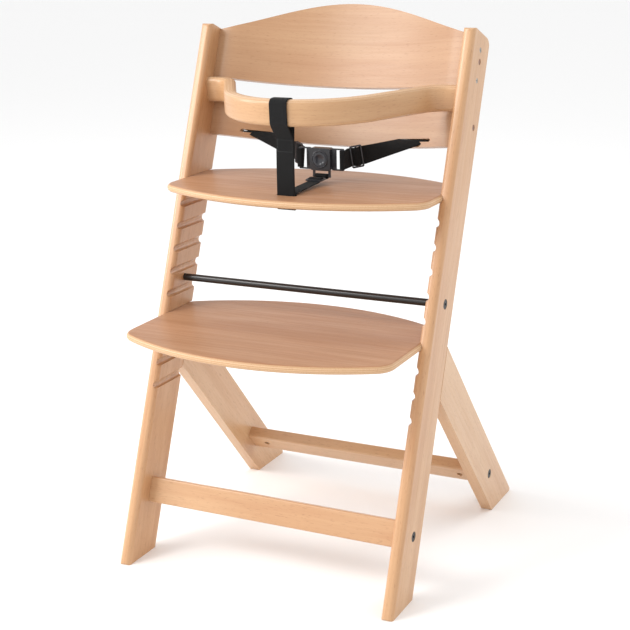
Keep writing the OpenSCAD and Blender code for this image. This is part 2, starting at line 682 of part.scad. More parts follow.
module button_spring() {
    turns = 4;
    wire = 0.45;
    y0 = split_y - button_travel - 0.4 + wire;
    y1 = back_y - 1.5 - wire;
    coil_r = 4.4;
    steps = turns * 14;
    color(steel) at_buckle() sweep([for (i = [0:steps]) let (a = 360 * turns * i / steps)
        [[coil_r * cos(a), y0 + (y1 - y0) * i / steps, coil_r * sin(a)],
         [cos(a), 0, sin(a)], [0, -1, 0]]], [for (k = [0:5]) wire * [cos(60 * k), sin(60 * k)]]);
}

// ---------- harness: tongues and waist straps ----------
shoulder_x = buckle_w / 2 + 0.3;                     // tongue's outer part starts here
tongue_out = 40;
window_x = [26.5, 35];
module tongue(side) {
    h = web_w / 2 + 2.8;
    tab_in = buckle_w / 2 - tongue_in;
    color(black) at_buckle() mirror([side > 0 ? 0 : 1, 0, 0]) rotate([90, 0, 0])
        translate([0, 0, -tongue_t / 2]) linear_extrude(tongue_t) difference() {
            polygon(rounded([[tab_in, -tab_h / 2], [shoulder_x, -tab_h / 2], [shoulder_x, -h],
                [tongue_out, -h], [tongue_out, h], [shoulder_x, h], [shoulder_x, tab_h / 2],
                [tab_in, tab_h / 2]], [2, 0, 2, 2, 2, 2, 0, 2]));
            translate([window_x[0], -h + 2.4]) square([window_x[1] - window_x[0], 2 * h - 4.8]);
            translate([tab_in + 3, -4]) square([4.5, 8]);
        }
}
module left_tongue() { tongue(-1); }
module right_tongue() { tongue(1); }

// Places of one waist strap, before the chair is centred
function from_rail(q) = [q[0], q[1] * cos(lean) + q[2] * sin(lean),
    q[2] * cos(lean) - q[1] * sin(lean)];
slot_mid_x = (panel_slot_x[0] + panel_slot_x[1]) / 2;
slot_n = panel_n(lower_n, slot_mid_x) + panel_t / 2;
slot_v = lower_v + panel_slot_v;
function adjust_at(side) = [buckle_at[0] + side * 52, 292, 646];
function slot_end(side, d) = from_rail([side * (slot_mid_x + 0.75 * d), slot_n + d, slot_v]);
function strap_way(side) = unit([side * 0.8, 0.53, 0.14]);
function strap_back(side) = let (s = strap_way(side)) unit([-s[1] * side, s[0] * side, 0]);
function lerp(a, b, t) = a + (b - a) * t;
function cut(v, d) = v - d * (v * d);
// Each entry is a point and the webbing's direction across its width
function waist_line(side) = let (b = buckle_at, a = adjust_at(side), s = strap_way(side), k = strap_back(side),
        r = tongue_t / 2 + 0.5 + web_t / 2, out = a + 13 * s + 2.4 * k,
        in_slot = slot_end(side, -12), way = unit(in_slot - out),
        up = [0, 0, 1], tilted = unit(cut(up, s)), flat = from_rail([-0.8 * side, 0.6, 0]),
        end_edge = from_rail([-side / 0.8, 0, 0]))              // square to the panel
    concat([[a - 11.4 * s, tilted], [b + [side * (tongue_out + 1.4), -r, 0], up]],
        [for (t = [270:-30:90]) [b + [side * (window_x[1] + 0.8 + r * cos(t)), r * sin(t), 0], up]],
        [[b + [side * (tongue_out - 0.5), r, 0], up]],
        [for (q = weave) [a + q[0] * s + q[1] * k, tilted]],
        [for (t = [0.1:0.1:0.9]) [lerp(out, in_slot, t), unit(cut(lerp(tilted, flat, t), way))]],
        [[in_slot, flat], [slot_end(side, -6), end_edge], [slot_end(side, 6), end_edge],
         [slot_end(side, 11.6), end_edge]]);
module waist_strap(side) {
    line = waist_line(side);
    n = len(line);
    color(webbing) place() sweep([for (i = [0:n - 1])
        let (d = line[min(i + 1, n - 1)][0] - line[max(i - 1, 0)][0], w = line[i][1])
        [line[i][0], unit(cross(d, w)), w]], [[-web_t / 2, -web_w / 2], [web_t / 2, -web_w / 2],
        [web_t / 2, web_w / 2], [-web_t / 2, web_w / 2]]);
}
module left_waist_strap() { waist_strap(-1); }
module right_waist_strap() { waist_strap(1); }
module waist_adjuster(side) {
    s = strap_way(side);
    color(black) place() translate(adjust_at(side))
        rotate([0, -asin(s[2]), atan2(s[1], s[0])]) three_bar(web_w);
}
module left_adjuster() { waist_adjuster(-1); }
module right_adjuster() { waist_adjuster(1); }
module waist_strap_stops() {
    color(black) on_rail() for (side = [-1, 1])
        translate([side * (slot_mid_x + 9), slot_n + 12 + 2.5, slot_v])
            rotate([0, 90, 0]) linear_extrude(44, center = true) polygon(box_outline(12, 5, 1.5));
}

module left_side_rail() { side_rail(-1); }
module right_side_rail() { side_rail(1); }
module left_rear_leg() { rear_leg(-1); }
module right_rear_leg() { rear_leg(1); }

left_side_rail();
right_side_rail();
left_rear_leg();
right_rear_leg();
upper_backrest();
lower_backrest();
safety_bar();
seat_plate();
footrest_plate();
front_crossbar();
rear_crossbar();
tie_rod();
rod_bolts();
front_crossbar_bolts();
rear_crossbar_bolts();
barrel_nuts();
backrest_screws();
backrest_bolts();
bolt_plugs();
leg_dowels();
crossbar_dowels();
bar_dowels();
crotch_strap();
buckle_strap();
left_waist_strap();
right_waist_strap();
seat_strap_stop();
waist_strap_stops();
buckle_body();
buckle_cover();
buckle_button();
button_spring();
left_tongue();
right_tongue();
left_adjuster();
right_adjuster();
crotch_adjuster();
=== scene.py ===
# %% [markdown]
# # A wooden high chair with a harness
# The chair is beech: solid planks for the rails, legs and crossbars, and bent or flat plywood for
# the seat, footrest, backrest panels and safety bar. Black webbing and a push-button buckle hold
# the child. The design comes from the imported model, and this file gives every piece its finished
# surface.

# %% Load the chair's frame
import bmesh
import bpy
from math import acos, atan, atan2, cos, pi, radians, sin, tan
from mathutils import Matrix, Vector


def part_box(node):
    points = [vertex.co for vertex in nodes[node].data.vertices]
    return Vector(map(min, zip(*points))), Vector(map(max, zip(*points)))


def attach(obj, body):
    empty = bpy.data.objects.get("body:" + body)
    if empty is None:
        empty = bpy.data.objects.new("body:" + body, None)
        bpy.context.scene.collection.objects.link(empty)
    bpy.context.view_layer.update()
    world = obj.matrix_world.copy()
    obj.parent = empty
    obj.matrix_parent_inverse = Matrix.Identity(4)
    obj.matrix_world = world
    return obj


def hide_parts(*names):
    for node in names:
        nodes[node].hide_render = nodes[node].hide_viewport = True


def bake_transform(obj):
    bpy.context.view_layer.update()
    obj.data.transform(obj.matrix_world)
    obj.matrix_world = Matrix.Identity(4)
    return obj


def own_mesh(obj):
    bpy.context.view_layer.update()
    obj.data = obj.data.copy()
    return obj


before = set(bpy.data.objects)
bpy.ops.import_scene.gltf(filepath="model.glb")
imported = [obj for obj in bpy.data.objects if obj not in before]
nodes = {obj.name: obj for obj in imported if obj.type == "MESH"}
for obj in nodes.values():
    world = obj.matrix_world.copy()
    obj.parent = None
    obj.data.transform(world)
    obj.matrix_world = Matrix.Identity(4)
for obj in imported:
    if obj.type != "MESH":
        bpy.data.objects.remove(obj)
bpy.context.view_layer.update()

MM = 0.001

# %% [markdown]
# The camera stands in front of the chair, to its right and a little above it, and looks slightly
# down. Its place is plain coordinates, and its turn comes from an azimuth, a height angle and a
# small roll.

# %% Camera
CAMERA_AT = Vector((0.98688, -1.98231, 1.01574))
AZIMUTH, ELEVATION, ROLL = radians(26.502), radians(15.918), radians(-1.215)
SENSOR_WIDTH = 36
FOCAL_RATIO = 1393.8 / 630


def aim(azimuth, elevation, roll):
    """Rotation of a camera that looks at the chair from that side."""
    turn = Matrix.Rotation(azimuth, 3, "Z") @ Matrix.Rotation(pi / 2 - elevation, 3, "X")
    return turn @ Matrix.Rotation(roll, 3, "Z")


camera_data = bpy.data.cameras.new("camera")
camera = bpy.data.objects.new("camera", camera_data)
bpy.context.collection.objects.link(camera)
camera.matrix_world = Matrix.Translation(CAMERA_AT) @ aim(AZIMUTH, ELEVATION, ROLL).to_4x4()
camera_data.sensor_width = SENSOR_WIDTH
camera_data.lens = SENSOR_WIDTH * FOCAL_RATIO
bpy.context.scene.camera = camera
print("camera lens, mm:", round(camera_data.lens, 1))

# %% [markdown]
# A studio needs little: a pale floor, an even pale world, one large soft light from the upper
# left, a weaker one lower on the left and one from behind that draws the edges.

# %% Studio
FLOOR_SIDE = 60.0


def link(name, mesh):
    """A new object that shows mesh, at the origin."""
    piece = bpy.data.objects.new(name, mesh)
    bpy.context.collection.objects.link(piece)
    return piece


def area_light(name, place, target, size, watts, color=(1, 1, 1)):
    """A square soft light at place that points at target."""
    data = bpy.data.lights.new(name, "AREA")
    data.shape, data.size, data.energy, data.color = "SQUARE", size, watts, color
    light = bpy.data.objects.new(name, data)
    bpy.context.collection.objects.link(light)
    aimed = (Vector(target) - Vector(place)).to_track_quat("-Z", "Y")
    light.matrix_world = Matrix.Translation(place) @ aimed.to_matrix().to_4x4()


floor_bm = bmesh.new()
bmesh.ops.create_grid(floor_bm, x_segments=1, y_segments=1, size=FLOOR_SIDE / 2)
floor_mesh = bpy.data.meshes.new("floor")
floor_bm.to_mesh(floor_mesh)
floor_finish = bpy.data.materials.new("white_floor")
floor_finish.use_nodes = True
floor_shader = floor_finish.node_tree.nodes["Principled BSDF"]
floor_shader.inputs["Base Color"].default_value = (0.93, 0.93, 0.93, 1)
floor_shader.inputs["Roughness"].default_value = 0.9
floor_mesh.materials.append(floor_finish)
floor = link("floor", floor_mesh)

world = bpy.data.worlds.new("studio")
bpy.context.scene.world = world
world.use_nodes = True
world.node_tree.nodes["Background"].inputs["Color"].default_value = (1.0, 1.0, 1.0, 1)
world.node_tree.nodes["Background"].inputs["Strength"].default_value = 1.0

area_light("key", (-2.0, -2.2, 2.6), (0, 0, 0.45), 1.4, 62, (1.0, 0.985, 0.96))
area_light("left softbox", (-2.8, -1.2, 1.5), (0, 0, 0.6), 1.2, 40)
area_light("rim", (1.6, 2.2, 1.8), (0, 0, 0.5), 1.4, 16)
bpy.context.scene.view_settings.view_transform = "Standard"

# %% [markdown]
# ## Finishes
# Every wood here is beech, so one node group makes its figure once: long soft bands, fine lines,
# and the short dark flecks that tell beech from other pale woods. Each material places the group
# with its own colours. The group's grain runs along X, so a Mapping node turns it along each
# plank.

# %% Node helpers


def set_inputs(node, values):
    """Gives plain values to a node's sockets, by name."""
    for name, value in values.items():
        node.inputs[name].default_value = value
    return node


def add(tree, kind, x, y, **values):
    """A new node at a readable place in the tree, with plain values for its sockets."""
    node = tree.nodes.new(kind)
    node.location = (x, y)
    return set_inputs(node, {k.replace("_", " "): v for k, v in values.items()})


def new_group(name, inputs, outputs):
    """An empty node group with its named sockets: (name, kind, default) and (name, kind)."""
    group = bpy.data.node_groups.new(name, "ShaderNodeTree")
    for label, kind, default in inputs:
        socket = group.interface.new_socket(label, in_out="INPUT", socket_type="NodeSocket" + kind)
        if default is not None:
            socket.default_value = default
    for label, kind in outputs:
        group.interface.new_socket(label, in_out="OUTPUT", socket_type="NodeSocket" + kind)
    return group, group.nodes.new("NodeGroupInput"), group.nodes.new("NodeGroupOutput")


def mix_color(tree, factor, a, b, mode="MIX"):
    """A colour mix node. factor, a and b are sockets or plain values."""
    node = tree.nodes.new("ShaderNodeMix")
    node.data_type, node.blend_type = "RGBA", mode
    for socket, value in ((node.inputs[0], factor), (node.inputs[6], a), (node.inputs[7], b)):
        if isinstance(value, bpy.types.NodeSocket):
            tree.links.new(value, socket)
        else:
            socket.default_value = value
    return node.outputs[2]


def calc(tree, operation, a, b=0.0, clamp=False):
    """A math node's output. a and b are sockets or numbers."""
    node = tree.nodes.new("ShaderNodeMath")
    node.operation, node.use_clamp = operation, clamp
    for socket, value in ((node.inputs[0], a), (node.inputs[1], b)):
        if isinstance(value, bpy.types.NodeSocket):
            tree.links.new(value, socket)
        else:
            socket.default_value = value
    return node.outputs[0]


def remap(tree, value, low, high, to_low=0.0, to_high=1.0):
    """Stretches a value from low..high to to_low..to_high, and holds it there."""
    node = add(tree, "ShaderNodeMapRange", 0, 0)
    node.interpolation_type = "SMOOTHSTEP"
    for i, v in ((1, low), (2, high), (3, to_low), (4, to_high)):
        node.inputs[i].default_value = v
    tree.links.new(value, node.inputs[0])
    return node.outputs[0]


def noise(tree, vector, stretch, scale, detail=4.0, rough=0.55, distortion=0.0):
    """Noise on a vector that is stretched per axis."""
    mapping = add(tree, "ShaderNodeMapping", 0, 0)
    mapping.inputs["Scale"].default_value = stretch
    tree.links.new(vector, mapping.inputs["Vector"])
    node = add(tree, "ShaderNodeTexNoise", 0, 0, Scale=scale, Detail=detail, Roughness=rough,
               Distortion=distortion)
    tree.links.new(mapping.outputs[0], node.inputs["Vector"])
    return node.outputs["Fac"]


# %% Beech figure, a group that several finishes share
LACQUER = (0.76, 0.71, 0.63, 1)
beech, b_in, b_out = new_group(
    "beech figure",
    [("Vector", "Vector", None), ("Light", "Color", (0.8, 0.6, 0.4, 1)),
     ("Dark", "Color", (0.6, 0.4, 0.25, 1)), ("Fleck", "Color", (0.4, 0.22, 0.12, 1)),
     ("Fleck Amount", "Float", 0.5)],
    [("Color", "Color"), ("Height", "Float"), ("Roughness", "Float")])
bv = b_in.outputs["Vector"]
bands = noise(beech, bv, (1.2, 14, 14), 2.2, 3.0, 0.5, 0.6)
lines = noise(beech, bv, (3, 95, 95), 2.4, 5.0, 0.62, 0.25)
fine = noise(beech, bv, (10, 420, 420), 2.0, 3.0, 0.6)
flecks = noise(beech, bv, (95, 900, 900), 1.0, 1.0, 0.4)
patch = noise(beech, bv, (1.0, 3.0, 3.0), 3.0, 2.0, 0.5)
figure = calc(beech, "ADD", calc(beech, "MULTIPLY", bands, 0.55),
              calc(beech, "ADD", calc(beech, "MULTIPLY", lines, 0.3),
                   calc(beech, "MULTIPLY", fine, 0.15)))
figure = remap(beech, figure, 0.3, 0.7)
base = mix_color(beech, figure, b_in.outputs["Light"], b_in.outputs["Dark"])
WARM_TINT = (0.95, 0.80, 0.72, 1)
warm = mix_color(beech, remap(beech, patch, 0.3, 0.7, 0.0, 0.35), base, WARM_TINT, "MULTIPLY")
fleck_mask = remap(beech, flecks, 0.63, 0.72)
fleck_mask = calc(beech, "MULTIPLY", fleck_mask, b_in.outputs["Fleck Amount"])
flecked = mix_color(beech, fleck_mask, warm, b_in.outputs["Fleck"])
beech.links.new(mix_color(beech, 1.0, flecked, LACQUER, "MULTIPLY"), b_out.inputs["Color"])
height = calc(beech, "SUBTRACT", calc(beech, "MULTIPLY", fine, 0.6),
              calc(beech, "MULTIPLY", fleck_mask, 0.5))
beech.links.new(height, b_out.inputs["Height"])
beech.links.new(remap(beech, lines, 0.3, 0.7, 0.34, 0.46), b_out.inputs["Roughness"])
print("beech figure nodes:", len(beech.nodes))

# %% [markdown]
# A material is a Principled BSDF that stays outside the groups. The helper below makes one, and
# hands its tree and shader to the function that dresses it.

# %% Material helpers


def new_material(name, **values):
    """A material with one Principled BSDF and plain values for its sockets."""
    material = bpy.data.materials.new(name)
    material.use_nodes = True
    shader = material.node_tree.nodes["Principled BSDF"]
    set_inputs(shader, {k.replace("_", " "): v for k, v in values.items()})
    return material, material.node_tree, shader


def object_vector(tree, turn=(0, 0, 0), shift=(0, 0, 0)):
    """Object coordinates, turned so that the grain lies along X."""
    where = add(tree, "ShaderNodeTexCoord", -900, 0)
    mapping = add(tree, "ShaderNodeMapping", -700, 0)
    mapping.inputs["Rotation"].default_value = turn
    mapping.inputs["Location"].default_value = shift
    tree.links.new(where.outputs["Object"], mapping.inputs["Vector"])
    return mapping.outputs[0]


def bump_from(tree, shader, height, strength, distance):
    """Feeds a height to the shader's normal."""
    bump = add(tree, "ShaderNodeBump", -250, -350, Strength=strength, Distance=distance)
    tree.links.new(height, bump.inputs["Height"])
    tree.links.new(bump.outputs["Normal"], shader.inputs["Normal"])


def use_group(tree, group, x, y, **values):
    """Places a node group in a material, with plain values for its named sockets."""
    node = tree.nodes.new("ShaderNodeGroup")
    node.node_tree = group
    node.location = (x, y)
    return set_inputs(node, {k.replace("_", " "): v for k, v in values.items()})


def srgb(r, g, b):
    """A linear colour from the 0 to 255 values of a paint chart."""
    def linear(c):
        c /= 255
        return c / 12.92 if c <= 0.04045 else ((c + 0.055) / 1.055) ** 2.4
    return (linear(r), linear(g), linear(b), 1)


# %% Solid beech for planks
SOLID_LIGHT, SOLID_DARK = srgb(232, 192, 152), srgb(213, 165, 122)
SOLID_FLECK = srgb(158, 102, 62)


def solid_beech(name, turn, shift=(0, 0, 0), light=SOLID_LIGHT, dark=SOLID_DARK):
    """Lacquered solid beech whose grain runs along the turned X."""
    material, tree, shader = new_material(name, Coat_Weight=0.45, Coat_Roughness=0.28)
    group = use_group(tree, beech, -400, 0, Light=light, Dark=dark, Fleck=SOLID_FLECK,
                      Fleck_Amount=0.35)
    tree.links.new(object_vector(tree, turn, shift), group.inputs["Vector"])
    tree.links.new(group.outputs["Color"], shader.inputs["Base Color"])
    tree.links.new(group.outputs["Roughness"], shader.inputs["Roughness"])
    bump_from(tree, shader, group.outputs["Height"], 0.12, 0.0004)
    return material


# %% Grain directions
RAIL_LEAN, LEG_LEAN = radians(21.6), radians(41.5)
along_rail = (RAIL_LEAN, pi / 2, 0)
along_leg = (-LEG_LEAN, pi / 2, 0)
rail_beech = [solid_beech("rail_beech_" + side, along_rail, shift)
              for side, shift in (("left", (0, 0, 0)), ("right", (0.7, 0.3, 0.1)))]
leg_beech = solid_beech("leg_beech", along_leg, (0.2, 0.1, 0.4),
                        srgb(236, 200, 163), srgb(219, 175, 134))
crossbar_beech = solid_beech("crossbar_beech", (0, 0, 0), (0.4, 0, 0.2),
                             srgb(234, 196, 158), srgb(216, 170, 130))
dowel_beech = solid_beech("dowel_beech", (0, 0, 0), (0.1, 0.5, 0))
print("solid wood finishes:", len(bpy.data.materials))

# %% [markdown]
# Plywood shows its figured face veneer on the flat sides and a stack of thin layers on every
# edge. One group works this out from the depth below the face: the first and last layer are face
# veneer, and the layers between alternate between long grain and darker end grain with a thin
# glue line.

# %% Plywood layers, a group
ply, p_in, p_out = new_group(
    "plywood",
    [("Vector", "Vector", None), ("Depth", "Float", 0.0), ("Thickness", "Float", 0.012),
     ("Layer", "Float", 0.0016), ("Face Light", "Color", (0.8, 0.6, 0.4, 1)),
     ("Face Dark", "Color", (0.6, 0.4, 0.25, 1)), ("Edge Light", "Color", (0.9, 0.75, 0.55, 1)),
     ("Edge Dark", "Color", (0.7, 0.5, 0.3, 1))],
    [("Color", "Color"), ("Height", "Float"), ("Roughness", "Float")])
veneer = use_group(ply, beech, -200, 200, Fleck=srgb(150, 98, 66), Fleck_Amount=0.3)
for label, source in (("Vector", "Vector"), ("Light", "Face Light"), ("Dark", "Face Dark")):
    ply.links.new(p_in.outputs[source], veneer.inputs[label])
depth, thickness, layer = (p_in.outputs[n] for n in ("Depth", "Thickness", "Layer"))
count = calc(ply, "DIVIDE", depth, layer)
pairs = calc(ply, "MULTIPLY", calc(ply, "FLOOR", count), 0.5)
odd = calc(ply, "MULTIPLY", calc(ply, "FRACT", pairs), 2.0)
within = calc(ply, "ABSOLUTE", calc(ply, "SUBTRACT", calc(ply, "FRACT", count), 0.5))
glue = remap(ply, within, 0.42, 0.49)
speckle = noise(ply, p_in.outputs["Vector"], (700, 500, 500), 1.0, 2.0, 0.6)
stack = mix_color(ply, odd, p_in.outputs["Edge Light"], p_in.outputs["Edge Dark"])
END_GRAIN, GLUE_LINE = srgb(176, 120, 78), srgb(140, 88, 52)
pores = calc(ply, "MULTIPLY", remap(ply, speckle, 0.5, 0.7), 0.25)
stack = mix_color(ply, pores, stack, END_GRAIN)
stack = mix_color(ply, calc(ply, "MULTIPLY", glue, 0.45), stack, GLUE_LINE)
stack = mix_color(ply, 1.0, stack, LACQUER, "MULTIPLY")
VENEER = 1.1 * MM
to_front = calc(ply, "LESS_THAN", depth, VENEER)
to_back = calc(ply, "GREATER_THAN", depth, calc(ply, "SUBTRACT", thickness, VENEER))
is_face = calc(ply, "MAXIMUM", to_front, to_back)
ply.links.new(mix_color(ply, is_face, stack, veneer.outputs["Color"]), p_out.inputs["Color"])
relief = calc(ply, "SUBTRACT", veneer.outputs["Height"], calc(ply, "MULTIPLY", glue, 0.6))
ply.links.new(relief, p_out.inputs["Height"])
ply.links.new(veneer.outputs["Roughness"], p_out.inputs["Roughness"])
print("plywood nodes:", len(ply.nodes))

# %% Plywood materials
FACE_LIGHT, FACE_DARK = srgb(208, 165, 135), srgb(188, 142, 110)
EDGE_LIGHT, EDGE_DARK = srgb(242, 209, 176), srgb(225, 186, 150)


def plywood(name, thickness, layer, depth_from, light=FACE_LIGHT, dark=FACE_DARK, shift=(0, 0, 0),
            gloss=0.0):
    """Lacquered plywood. depth_from says where the layers are counted from: a height, or None where
    the piece carries its own place attribute (along, across, depth)."""
    material, tree, shader = new_material(name, Coat_Weight=gloss, Coat_Roughness=0.26,
                                          Specular_IOR_Level=0.22)
    group = use_group(tree, ply, -400, 0, Thickness=thickness, Layer=layer, Face_Light=light,
                      Face_Dark=dark, Edge_Light=EDGE_LIGHT, Edge_Dark=EDGE_DARK)
    split = add(tree, "ShaderNodeSeparateXYZ", -600, -200)
    if depth_from is None:
        place = add(tree, "ShaderNodeAttribute", -900, 0)
        place.attribute_name = "place"
        vector = place.outputs["Vector"]
        tree.links.new(vector, split.inputs[0])
        depth = split.outputs["Z"]
    else:
        vector = object_vector(tree, shift=shift)
        where = add(tree, "ShaderNodeTexCoord", -900, -300)
        tree.links.new(where.outputs["Object"], split.inputs[0])
        depth = calc(tree, "SUBTRACT", split.outputs["Z"], depth_from)
    tree.links.new(vector, group.inputs["Vector"])
    tree.links.new(depth, group.inputs["Depth"])
    tree.links.new(group.outputs["Color"], shader.inputs["Base Color"])
    tree.links.new(group.outputs["Roughness"], shader.inputs["Roughness"])
    bump_from(tree, shader, group.outputs["Height"], 0.1, 0.0004)
    return material


seat_low, seat_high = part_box("seat_plate")
foot_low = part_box("footrest_plate")[0]
PLATE = seat_high.z - seat_low.z
PANEL, BAR = 11 * MM, 20 * MM
seat_ply = plywood("seat_plywood", PLATE, PLATE / 9, seat_low.z)
foot_ply = plywood("footrest_plywood", PLATE, PLATE / 9, foot_low.z, shift=(0.3, 0.9, 0))
panel_ply = plywood("panel_plywood", PANEL, PANEL / 7, None, srgb(210, 173, 140),
                    srgb(195, 153, 120), gloss=0.4)
bar_ply = plywood("bar_plywood", BAR, BAR / 13, None, srgb(230, 194, 156),
                  srgb(210, 169, 130), gloss=0.55)
print("plate thickness, mm:", round(PLATE / MM, 1))

# %% [markdown]
# Webbing is woven polypropylene. Its pattern follows the strap, so it reads the strap's own place
# attribute: how far along, how far across, and the depth. The group makes rows of slanted yarns
# that change direction from row to row, and puts out a height and a mask for the gaps between the
# yarns, where the webbing paints shade into its colour.

# %% Weave, a group
weave, w_in, w_out = new_group(
    "weave", [("Vector", "Vector", None), ("Pitch", "Float", 0.0017), ("Row", "Float", 0.0022)],
    [("Height", "Float"), ("Gap Shade", "Float")])
w_split = add(weave, "ShaderNodeSeparateXYZ", -800, 0)
weave.links.new(w_in.outputs["Vector"], w_split.inputs[0])
row = calc(weave, "DIVIDE", w_split.outputs["Y"], w_in.outputs["Row"])
zigzag = calc(weave, "ABSOLUTE", calc(weave, "SUBTRACT", calc(weave, "FRACT", row), 0.5))
pitches = calc(weave, "DIVIDE", w_split.outputs["X"], w_in.outputs["Pitch"])
slant = calc(weave, "ADD", pitches, zigzag)
yarn = calc(weave, "ABSOLUTE", calc(weave, "SUBTRACT", calc(weave, "FRACT", slant), 0.5))
yarn_top = remap(weave, yarn, 0.5, 0.08)
seam = remap(weave, zigzag, 0.0, 0.14)
raised = calc(weave, "MULTIPLY", yarn_top, seam)
weave.links.new(raised, w_out.inputs["Height"])
# The gap mask marks where painted shade goes into the webbing's colour.
weave.links.new(calc(weave, "SUBTRACT", 1.0, raised), w_out.inputs["Gap Shade"])

# %% Webbing, thread, plastic and metals
web, tree, shader = new_material("webbing", Roughness=0.85, Sheen_Weight=0.04, Sheen_Roughness=0.5,
                                 Specular_IOR_Level=0.22)
place = add(tree, "ShaderNodeAttribute", -900, 0)
place.attribute_name = "place"
group = use_group(tree, weave, -500, 0)
tree.links.new(place.outputs["Vector"], group.inputs["Vector"])
# Painted shade: the gaps between the yarns take a near-black colour for the shade that falls into
# them.
yarn_and_gap_shade = mix_color(tree, group.outputs["Gap Shade"], srgb(30, 30, 31), srgb(5, 5, 6))
tree.links.new(yarn_and_gap_shade, shader.inputs["Base Color"])
bump_from(tree, shader, group.outputs["Height"], 0.9, 0.0006)

thread, tree, shader = new_material("thread", Roughness=0.6, Sheen_Weight=0.2)
twist = noise(tree, object_vector(tree), (900, 900, 2500), 1.0, 2.0)
thread_colour = mix_color(tree, twist, srgb(34, 34, 36), srgb(66, 66, 70))
tree.links.new(thread_colour, shader.inputs["Base Color"])


def speckled(name, dark, light, low, high, grit, bump=0.05, **values):
    """A material with a fine grit in its colour, roughness and relief."""
    material, tree, shader = new_material(name, **values)
    fine = noise(tree, object_vector(tree), (1, 1, 1), grit, 3.0, 0.6)
    colour = mix_color(tree, remap(tree, fine, 0.3, 0.7), dark, light)
    tree.links.new(colour, shader.inputs["Base Color"])
    tree.links.new(remap(tree, fine, 0.25, 0.75, low, high), shader.inputs["Roughness"])
    bump_from(tree, shader, fine, bump, 0.0002)
    return material


black_plastic = speckled("black_plastic", srgb(44, 45, 49), srgb(54, 55, 60), 0.2, 0.32, 1600)
button_plastic = speckled("button_plastic", srgb(50, 52, 58), srgb(60, 62, 69), 0.12, 0.22, 1600)
black_steel = speckled("black_steel", srgb(22, 22, 23), srgb(34, 34, 36), 0.3, 0.42, 900,
                       Metallic=0.6)
rod_black = speckled("rod_black", srgb(24, 23, 23), srgb(34, 33, 33), 0.3, 0.4, 1200, 0.08,
                     Coat_Weight=0.2)
zinc = speckled("zinc", srgb(150, 148, 142), srgb(186, 186, 184), 0.25, 0.45, 700, Metallic=0.9)
# Plug colour: darker beech, and its dark brown also stands in for painted shade in the bolt holes.
plug_beech_with_painted_shade = solid_beech("plug_beech_with_painted_shade", (0, 0, 0), light=srgb(150, 92, 56), dark=srgb(116, 66, 38))
print("finishes:", len(bpy.data.materials))

# %% [markdown]
# ## Planks and panels
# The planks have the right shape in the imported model, apart from their edges: a sander breaks
# every sharp edge of real wood. So each is copied, its loose triangles are merged into clean
# faces, and the sharp edges get a narrow bevel, which also catches a thin line of light.

# %% Softening helpers


def clean_copy(node):
    """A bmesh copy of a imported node, merged, with flat areas joined into single faces."""
    bm = bmesh.new()
    bm.from_mesh(nodes[node].data)
    bmesh.ops.remove_doubles(bm, verts=bm.verts[:], dist=0.00001)
    bmesh.ops.dissolve_limit(bm, angle_limit=radians(0.5), verts=bm.verts[:], edges=bm.edges[:])
    return bm


def sharp_edges(bm, angle):
    """The edges where two faces meet at more than that angle."""
    return [e for e in bm.edges if len(e.link_faces) == 2 and e.calc_face_angle() > angle]


def break_edges(bm, edges, width, segments):
    """Rounds those edges off, as a sander does."""
    bmesh.ops.bevel(bm, geom=edges, offset=width, offset_type="OFFSET", segments=segments,
                    profile=0.5, material=-1, affect="EDGES", clamp_overlap=True)


def finish_piece(name, bm, material, body, stands_for=(), smooth_angle=38):
    """Turns a bmesh into a shaded piece that rides on its body. One that bends has no body here."""
    mesh = bpy.data.meshes.new(name)
    bm.to_mesh(mesh)
    bm.free()
    mesh.materials.append(material)
    mesh.shade_smooth()
    mesh.set_sharp_from_angle(angle=radians(smooth_angle))
    piece = link(name, mesh)
    if body:
        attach(piece, body)
    if stands_for:
        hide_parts(*stands_for)
    return piece


def weighted_normals(piece):
    """Keeps flat faces flat beside their rounded edges."""
    modifier = piece.modifiers.new("flat faces", "WEIGHTED_NORMAL")
    modifier.keep_sharp = True
    modifier.weight = 80


def softened(node, name, width, material, body, segments=2, angle=38):
    """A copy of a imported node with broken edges, which stands for it."""
    bm = clean_copy(node)
    break_edges(bm, sharp_edges(bm, radians(angle)), width, segments)
    weighted_normals(finish_piece(name, bm, material, body, (node,)))


# %% Rails, legs and crossbars
for i, side in enumerate(("left", "right")):
    softened(side + "_side_rail", side + "_rail", 0.8 * MM, rail_beech[i], "frame")
    softened(side + "_rear_leg", side + "_leg", 1.5 * MM, leg_beech, "frame", 3)
for end in ("front", "rear"):
    softened(end + "_crossbar", end + "_bar", 0.5 * MM, crossbar_beech, "frame")

# %% Seat and footrest
softened("seat_plate", "seat", 0.7 * MM, seat_ply, "seat")
softened("footrest_plate", "footrest", 0.5 * MM, foot_ply, "footrest")
print("seat top, metres:", round(seat_high.z, 4))

# %% Where a point lies on the leaning rails
SHIFT_Y = -0.2572562


def on_rail(x, n, v):
    """The place of a point given across, behind and up the leaning rails."""
    y = n * cos(RAIL_LEAN) + v * sin(RAIL_LEAN) + SHIFT_Y
    return Vector((x, y, v * cos(RAIL_LEAN) - n * sin(RAIL_LEAN)))


def from_rail(point):
    """How far a point is behind the rails' front edge and up along them."""
    y, z = point.y - SHIFT_Y, point.z
    return y * cos(RAIL_LEAN) - z * sin(RAIL_LEAN), y * sin(RAIL_LEAN) + z * cos(RAIL_LEAN)


def mark_place(bm, where):
    """Stores (along, across, depth) on every vertex for the layered and woven materials."""
    layer = bm.verts.layers.float_vector.new("place")
    for vert in bm.verts:
        vert[layer] = where(vert.co)


# %% [markdown]
# The backrest panels are bent plywood. Each vertex stores how deep it lies below the front
# veneer, so the layers on the upper and lower edges follow the bend.

# %% Backrest panels
BOW, INNER_X, END_R = 36 * MM, 224 * MM, 120 * MM
BEND = 2 * atan(BOW / INNER_X)
BOW_R = INNER_X / sin(BEND) - END_R


